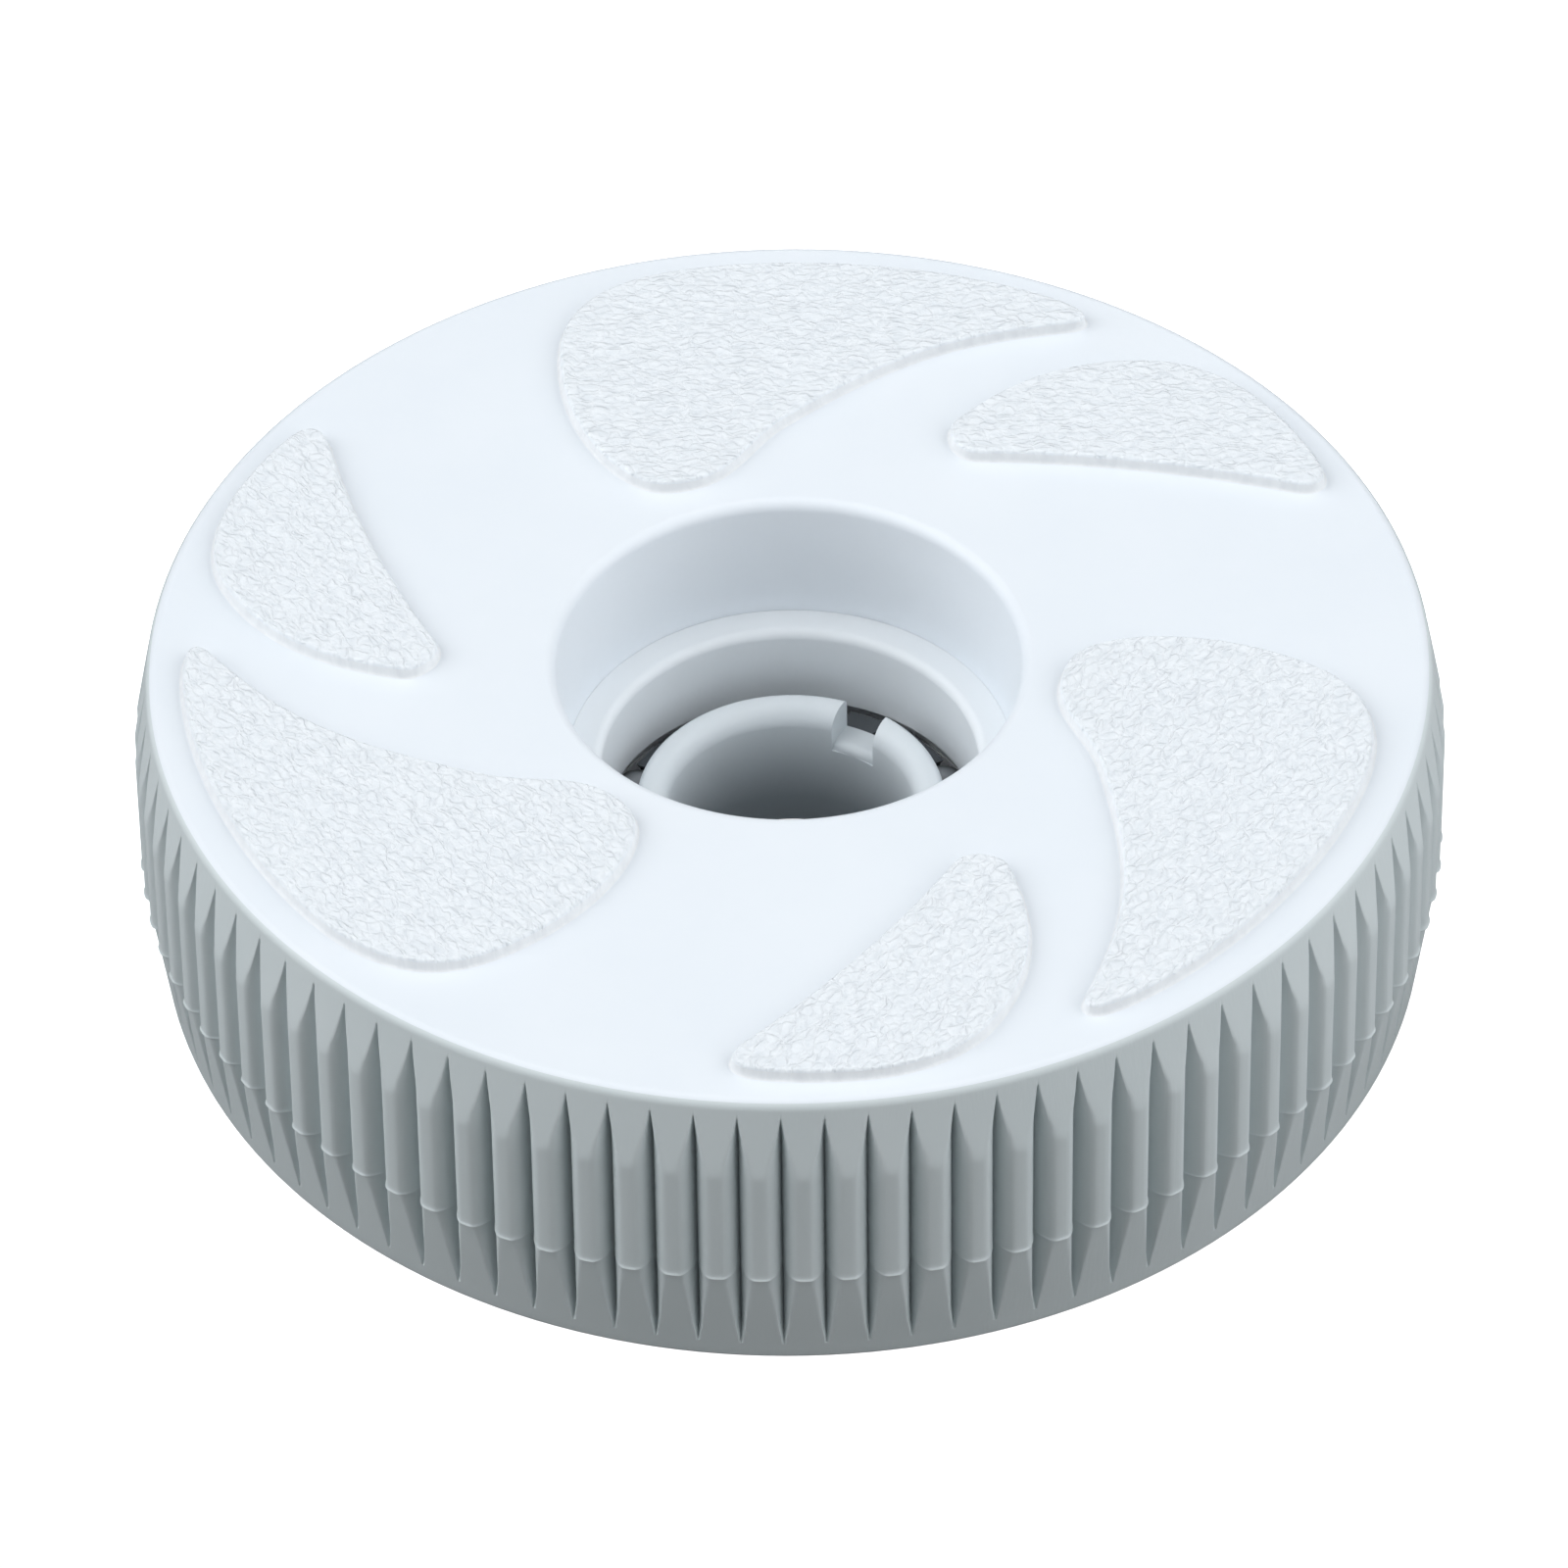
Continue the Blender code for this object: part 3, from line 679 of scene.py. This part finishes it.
# ---------------------------------------------------------------- materials
class Nodes:
    """A short hand for wiring one material."""

    def __init__(self, name):
        self.mat = bpy.data.materials.new(name)
        self.mat.use_nodes = True
        self.tree = self.mat.node_tree
        self.shader = self.tree.nodes["Principled BSDF"]

    def add(self, kind, **settings):
        node = self.tree.nodes.new(kind)
        for key, value in settings.items():
            if hasattr(node, key):
                setattr(node, key, value)
            else:
                node.inputs[key.replace("_", " ")].default_value = value
        return node

    def link(self, source, target):
        self.tree.links.new(source, target)

    def noise(self, coords, scale, detail=3.0, roughness=0.5):
        node = self.add("ShaderNodeTexNoise", Scale=scale, Detail=detail, Roughness=roughness)
        self.link(coords, node.inputs["Vector"])
        return node.outputs["Fac"]

    def ramp(self, fac, stops):
        node = self.add("ShaderNodeValToRGB")
        ramp = node.color_ramp
        while len(ramp.elements) < len(stops):
            ramp.elements.new(0.5)
        for element, (position, colour) in zip(ramp.elements, stops):
            element.position = position
            element.color = (colour[0], colour[1], colour[2], 1.0)
        self.link(fac, node.inputs["Fac"])
        return node.outputs["Color"]

    def span(self, fac, low, high):
        node = self.add("ShaderNodeMapRange")
        node.inputs["To Min"].default_value = low
        node.inputs["To Max"].default_value = high
        self.link(fac, node.inputs["Value"])
        return node.outputs["Result"]

    def math(self, operation, a, b):
        node = self.add("ShaderNodeMath", operation=operation)
        for socket, value in zip(node.inputs, (a, b)):
            if isinstance(value, (int, float)):
                socket.default_value = value
            else:
                self.link(value, socket)
        return node.outputs["Value"]

    def mapped(self, coords, scale):
        node = self.add("ShaderNodeMapping")
        node.inputs["Scale"].default_value = scale
        self.link(coords, node.inputs["Vector"])
        return node.outputs["Vector"]

    def mix(self, fac, a, b):
        node = self.add("ShaderNodeMix", data_type="RGBA")
        colours = [s for s in node.inputs if s.type == "RGBA"]
        for socket, value in zip(colours, (a, b)):
            if isinstance(value, tuple):
                socket.default_value = (value[0], value[1], value[2], 1.0)
            else:
                self.link(value, socket)
        self.link(fac, node.inputs["Factor"])
        return [s for s in node.outputs if s.type == "RGBA"][0]

    def colour_between(self, fac, colours):
        """Runs from the darker to the lighter of two colours."""
        light, shade = colours
        return self.ramp(fac, [(0.30, shade), (0.70, light)])

    def inside(self, weight, reach):
        """Moulded plastic: how it bends light, and how far light spreads beneath its surface."""
        self.shader.inputs["IOR"].default_value = 1.49
        self.shader.inputs["Subsurface Weight"].default_value = weight
        self.shader.inputs["Subsurface Radius"].default_value = (1.0, 1.0, 1.0)
        self.shader.inputs["Subsurface Scale"].default_value = reach

    def bump(self, height, distance, strength=1.0, under=None):
        node = self.add("ShaderNodeBump")
        node.inputs["Distance"].default_value = distance
        node.inputs["Strength"].default_value = strength
        self.link(height, node.inputs["Height"])
        if under is not None:
            self.link(under, node.inputs["Normal"])
        return node.outputs["Normal"]


def add_specks(n, place, colour):
    """A few dark specks: small dots, kept only in some patches."""
    cells = n.add("ShaderNodeTexVoronoi", feature="F1", Scale=115.0)
    n.link(place, cells.inputs["Vector"])
    dot = n.math("LESS_THAN", cells.outputs["Distance"], 0.014)
    keep = n.math("GREATER_THAN", n.noise(place, 40.0, 1.0), 0.66)
    return n.mix(n.math("MULTIPLY", dot, keep), colour, SPECK)


def add_painted_bore_shade(n, place, colour, depth):
    """Painted shade: greyer toward the lower of two heights, for the shade deep in a bore."""
    axis = n.add("ShaderNodeSeparateXYZ")
    n.link(place, axis.inputs["Vector"])
    level = n.add("ShaderNodeMapRange")
    level.inputs["From Min"].default_value, level.inputs["From Max"].default_value = depth
    n.link(axis.outputs["Z"], level.inputs["Value"])
    return n.mix(level.outputs["Result"], BORE_SHADE_GREY, colour)


def polymer(name, colours, roughness, streaks=0.0, depth=None):
    """White moulded polymer: faint mottling, fine orange peel, a few dark specks, and, where depth
    heights are given, painted shade toward the foot of a bore.
    """
    n = Nodes(name)
    place = n.add("ShaderNodeTexCoord").outputs["Object"]
    colour = n.colour_between(n.noise(place, 55.0, 4.0, 0.55), colours)
    colour = add_specks(n, place, colour)
    # painted shade: greyer toward the lower of the depth heights
    if depth is not None:
        colour = add_painted_bore_shade(n, place, colour, depth)
    n.link(colour, n.shader.inputs["Base Color"])
    gloss = n.span(n.noise(place, 260.0, 3.0), roughness - 0.05, roughness + 0.06)
    n.link(gloss, n.shader.inputs["Roughness"])
    normal = n.bump(n.noise(place, 1500.0, 2.0), 0.00002, 0.5)
    normal = n.bump(n.noise(place, 90.0, 2.0), 0.00006, 0.35, normal)
    if streaks > 0.0:
        lines = n.noise(n.mapped(place, (1.0, 1.0, 0.02)), 2600.0, 2.0, 0.6)
        normal = n.bump(lines, 0.00003, streaks, normal)
    n.link(normal, n.shader.inputs["Normal"])
    n.shader.inputs["Specular IOR Level"].default_value = 0.35
    n.inside(0.12, 0.0006)
    return n.mat


def bent_map(n, flat):
    """The pads' map, gently bent so that no wrinkle runs straight, and drawn out one way."""
    warp = n.add("ShaderNodeTexNoise", Scale=0.55, Detail=2.0)
    n.link(flat, warp.inputs["Vector"])
    lift = n.add("ShaderNodeVectorMath", operation="SCALE")
    n.link(warp.outputs["Color"], lift.inputs[0])
    lift.inputs["Scale"].default_value = 1.6
    bent = n.add("ShaderNodeVectorMath", operation="ADD")
    n.link(flat, bent.inputs[0])
    n.link(lift.outputs["Vector"], bent.inputs[1])
    return n.mapped(bent.outputs["Vector"], (0.68, 1.30, 1.0))


def grain_height(n, flat, long_way, wrinkle):
    """Height of the leather grain: wrinkles, the valleys between them, and a fine tooth."""
    cells = n.add("ShaderNodeTexVoronoi", feature="DISTANCE_TO_EDGE", Scale=1.0)
    n.link(long_way, cells.inputs["Vector"])
    folds = n.math("MINIMUM", cells.outputs["Distance"], 0.20)
    fine = n.noise(flat, 5.0, 2.0, 0.5)
    height = n.math("ADD", n.math("MULTIPLY", wrinkle, 0.9), n.math("MULTIPLY", folds, 1.6))
    return n.math("ADD", height, n.math("MULTIPLY", fine, 0.10))


def leather_grain(name, colours, roughness, ragged=False):
    """The pads: etched leather grain on their tops, a rough broken surface on their walls; on the tops
    the colour darkens in the wrinkles' hollows, painted shade.
    """
    n = Nodes(name)
    light, shade = colours
    place = n.add("ShaderNodeTexCoord").outputs["Object"]
    flat = n.add("ShaderNodeUVMap", uv_map="grain").outputs["UV"]
    long_way = bent_map(n, flat)
    wrinkle = n.noise(long_way, 1.1, 2.0, 0.55)
    # colour follows the wrinkles' height: painted shade in their hollows on the pad tops, random tone on
    # the walls
    n.link(n.ramp(wrinkle, [(0.30, shade), (0.62, light)]), n.shader.inputs["Base Color"])
    gloss = n.span(n.noise(place, 900.0, 3.0), roughness - 0.08, roughness + 0.08)
    n.link(gloss, n.shader.inputs["Roughness"])
    if ragged:
        normal = n.bump(n.noise(place, 1700.0, 4.0, 0.6), 0.00010, 0.8)
    else:
        normal = n.bump(grain_height(n, flat, long_way, wrinkle), 0.00026, 0.95)
    n.link(normal, n.shader.inputs["Normal"])
    n.inside(0.10, 0.0005)
    return n.mat


def ball_steel():
    n = Nodes("ball_steel_polished")
    place = n.add("ShaderNodeTexCoord").outputs["Object"]
    n.link(n.colour_between(n.noise(place, 300.0), STEEL), n.shader.inputs["Base Color"])
    n.link(n.span(n.noise(place, 900.0, 4.0), 0.30, 0.42), n.shader.inputs["Roughness"])
    n.link(n.bump(n.noise(place, 4000.0, 2.0), 0.000004, 0.4), n.shader.inputs["Normal"])
    n.shader.inputs["Metallic"].default_value = 1.0
    return n.mat


# ---------------------------------------------------------------- studio
def build_floor():
    """White paper that keeps its light to itself, so the tread's foot stays in shade."""
    bm = bmesh.new()
    bmesh.ops.create_grid(bm, x_segments=1, y_segments=1, size=FLOOR_HALF)
    n = Nodes("floor_paper")
    place = n.add("ShaderNodeTexCoord").outputs["Object"]
    light, shade = PAPER
    paper = n.ramp(n.noise(place, 6.0), [(0.2, shade), (0.8, light)])
    n.link(paper, n.shader.inputs["Base Color"])
    n.shader.inputs["Roughness"].default_value = 0.9
    n.shader.inputs["Specular IOR Level"].default_value = 0.1
    n.shader.inputs["Emission Color"].default_value = WHITE_LIGHT
    n.shader.inputs["Emission Strength"].default_value = FLOOR_GLOW
    floor = mesh_object("floor", bm, [n.mat])
    floor.visible_diffuse = False
    floor.visible_glossy = False


def build_card(turn_deg, strength):
    """A pale card on the paper, away from the tread, that throws light back up at it."""
    start = turn_deg - CARD_HALF_TURN
    end = turn_deg + CARD_HALF_TURN
    shape = arc(0.0, 0.0, CARD_OUTER, start, end, 24)
    shape += arc(0.0, 0.0, CARD_INNER, end, start, 24)
    bm = bmesh.new()
    bm.faces.new([bm.verts.new((x, y, CARD_LIFT)) for x, y in shape])
    n = Nodes("card_%d" % turn_deg)
    n.shader.inputs["Base Color"].default_value = BLACK
    n.shader.inputs["Emission Color"].default_value = COOL_LIGHT
    n.shader.inputs["Emission Strength"].default_value = strength
    card = mesh_object("card_%d" % turn_deg, bm, [n.mat])
    card.visible_camera = False


def sky_patch(tree, direction, turn_deg, high_deg, inner, outer, strength):
    """One soft round patch of light in the sky, full inside its inner reach."""
    turn = math.radians(turn_deg)
    high = math.radians(high_deg)
    middle = (math.cos(turn) * math.cos(high), math.sin(turn) * math.cos(high), math.sin(high))
    facing = tree.nodes.new("ShaderNodeVectorMath")
    facing.operation = "DOT_PRODUCT"
    facing.inputs[1].default_value = middle
    tree.links.new(direction, facing.inputs[0])
    patch = tree.nodes.new("ShaderNodeMapRange")
    patch.interpolation_type = "SMOOTHSTEP"
    patch.inputs["From Min"].default_value = math.cos(math.radians(outer))
    patch.inputs["From Max"].default_value = math.cos(math.radians(inner))
    patch.inputs["To Max"].default_value = strength
    tree.links.new(facing.outputs["Value"], patch.inputs["Value"])
    return patch.outputs["Result"]


def build_sky():
    """Soft patches of light summed over the sky, dark toward the horizon."""
    world = bpy.data.worlds.new("studio")
    world.use_nodes = True
    tree = world.node_tree
    direction = tree.nodes.new("ShaderNodeTexCoord").outputs["Generated"]
    total = sky_patch(tree, direction, *SKY[0])
    for patch in SKY[1:]:
        both = tree.nodes.new("ShaderNodeMath")
        both.operation = "ADD"
        tree.links.new(total, both.inputs[0])
        tree.links.new(sky_patch(tree, direction, *patch), both.inputs[1])
        total = both.outputs["Value"]
    sky = tree.nodes["Background"]
    sky.inputs["Color"].default_value = COOL_LIGHT
    tree.links.new(total, sky.inputs["Strength"])
    bpy.context.scene.world = world
    bpy.context.scene.view_settings.view_transform = "Standard"


def build_camera():
    """Looks down on the face at about 42 degrees, a little rolled, through a long lens."""
    data = bpy.data.cameras.new("camera")
    data.sensor_width = 36.0
    data.lens = CAMERA_LENS
    data.clip_start = 0.05
    data.clip_end = 20.0
    camera = bpy.data.objects.new("camera", data)
    bpy.context.scene.collection.objects.link(camera)
    back = CAMERA_DISTANCE * math.cos(CAMERA_HEIGHT)
    rise = CAMERA_DISTANCE * math.sin(CAMERA_HEIGHT)
    camera.location = (0.0, -back, rise + FACE_Z)
    look = LOOK_AT - camera.location
    facing = look.to_track_quat("-Z", "Y").to_matrix().to_4x4()
    camera.rotation_euler = (facing @ Matrix.Rotation(CAMERA_ROLL, 4, "Z")).to_euler()
    bpy.context.scene.camera = camera


def main():
    face = polymer("wheel_white", FACE_WHITE, 0.42)
    # a darker copy of the face white, painted shade on the tread; its streaks and roughness are its own
    tread = polymer("tread_shaded_white", TREAD_SHADED_WHITE, 0.45, streaks=0.55)
    pad = leather_grain("pad_grain", PAD_WHITE, 0.52)
    pad_wall = leather_grain("pad_wall", PAD_WALL_WHITE, 0.42, ragged=True)
    race = polymer("race_white", RACE_WHITE, 0.38)
    # the sleeve's bore gets painted shade toward its foot
    sleeve = polymer("sleeve_white", SLEEVE_WHITE, 0.38, depth=SLEEVE_BORE_SHADE_HEIGHTS)
    cage = polymer("cage_grey", CAGE_GREY, 0.55)
    build_wheel([face, pad, pad_wall, tread])
    build_races(race)
    build_sleeve(sleeve)
    finish_cage(cage)
    build_balls(ball_steel())
    build_floor()
    for turn_deg, strength in CARDS:
        build_card(turn_deg, strength)
    build_sky()
    build_camera()


main()
